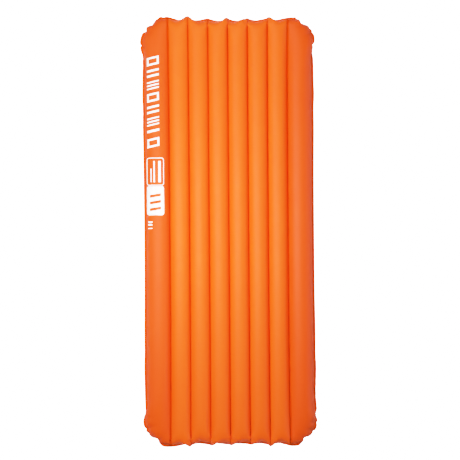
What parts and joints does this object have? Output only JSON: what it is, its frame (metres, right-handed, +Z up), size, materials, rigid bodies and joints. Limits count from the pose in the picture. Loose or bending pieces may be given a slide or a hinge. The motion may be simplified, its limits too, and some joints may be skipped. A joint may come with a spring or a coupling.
{
  "type": "inflatable sleeping pad",
  "caption": "Rectangular air mattress with rounded corners, lengthwise air tubes, larger side tubes and a flat two-stage valve low on one flank near the foot end.",
  "frame": {"origin": "on the floor plane, under the middle of the pad", "axes": "+Y along the pad to its head end, +Z up from the floor, +X across the pad towards the side that carries the valve"},
  "size_m": [0.7712, 1.96, 0.108],
  "materials": {
    "shell_fabric": "matte TPU-coated woven polyester, bright orange",
    "baffle_fabric": "coated off-white baffle fabric",
    "reflective_film": "aluminised polyester film, shiny",
    "weld_tpu": "soft charcoal TPU, satin",
    "valve_plastic": "moulded near-black nylon, fine texture",
    "cap_plastic": "moulded charcoal TPU and nylon, satin",
    "silicone": "milky silicone",
    "button_plastic": "moulded orange plastic, satin"
  },
  "bodies": {
    "pad": {"top_panel": "shell_fabric", "bottom_panel": "shell_fabric", "baffle_1": "baffle_fabric", "baffle_2": "baffle_fabric", "baffle_3": "baffle_fabric", "baffle_4": "baffle_fabric", "baffle_5": "baffle_fabric", "baffle_6": "baffle_fabric", "baffle_7": "baffle_fabric", "reflective_film_1": "reflective_film", "reflective_film_2": "reflective_film", "reflective_film_3": "reflective_film", "reflective_film_4": "reflective_film", "reflective_film_5": "reflective_film", "reflective_film_6": "reflective_film", "reflective_film_7": "reflective_film", "reflective_film_8": "reflective_film", "valve_base": "weld_tpu", "valve_seat": "valve_plastic", "deflate_lid_strap": "weld_tpu"},
    "deflate_lid": {"deflate_lid": "valve_plastic", "deflate_lid_seal": "silicone", "inflate_cap_strap": "weld_tpu"},
    "inflate_cap": {"inflate_cap": "cap_plastic", "inflate_cap_seal": "silicone"},
    "check_valve": {"check_diaphragm": "silicone", "release_button": "button_plastic"}
  },
  "joints": [
    {"name": "deflate_lid_hinge", "type": "hinge", "parent": "pad", "child": "deflate_lid", "pos_m": [0.37855, -0.8, 0.04378], "axis": [0, -1, 0], "range_deg": [0, 110]},
    {"name": "inflate_cap_hinge", "type": "hinge", "parent": "deflate_lid", "child": "inflate_cap", "pos_m": [0.36978, -0.8145, 0.02391], "axis": [-0.5299, 0, -0.848], "range_deg": [0, 125]},
    {"name": "release_button_press", "type": "slide", "parent": "deflate_lid", "child": "check_valve", "axis": [-0.848, 0, 0.5299], "range_m": [0, 0.0022]}
  ]
}
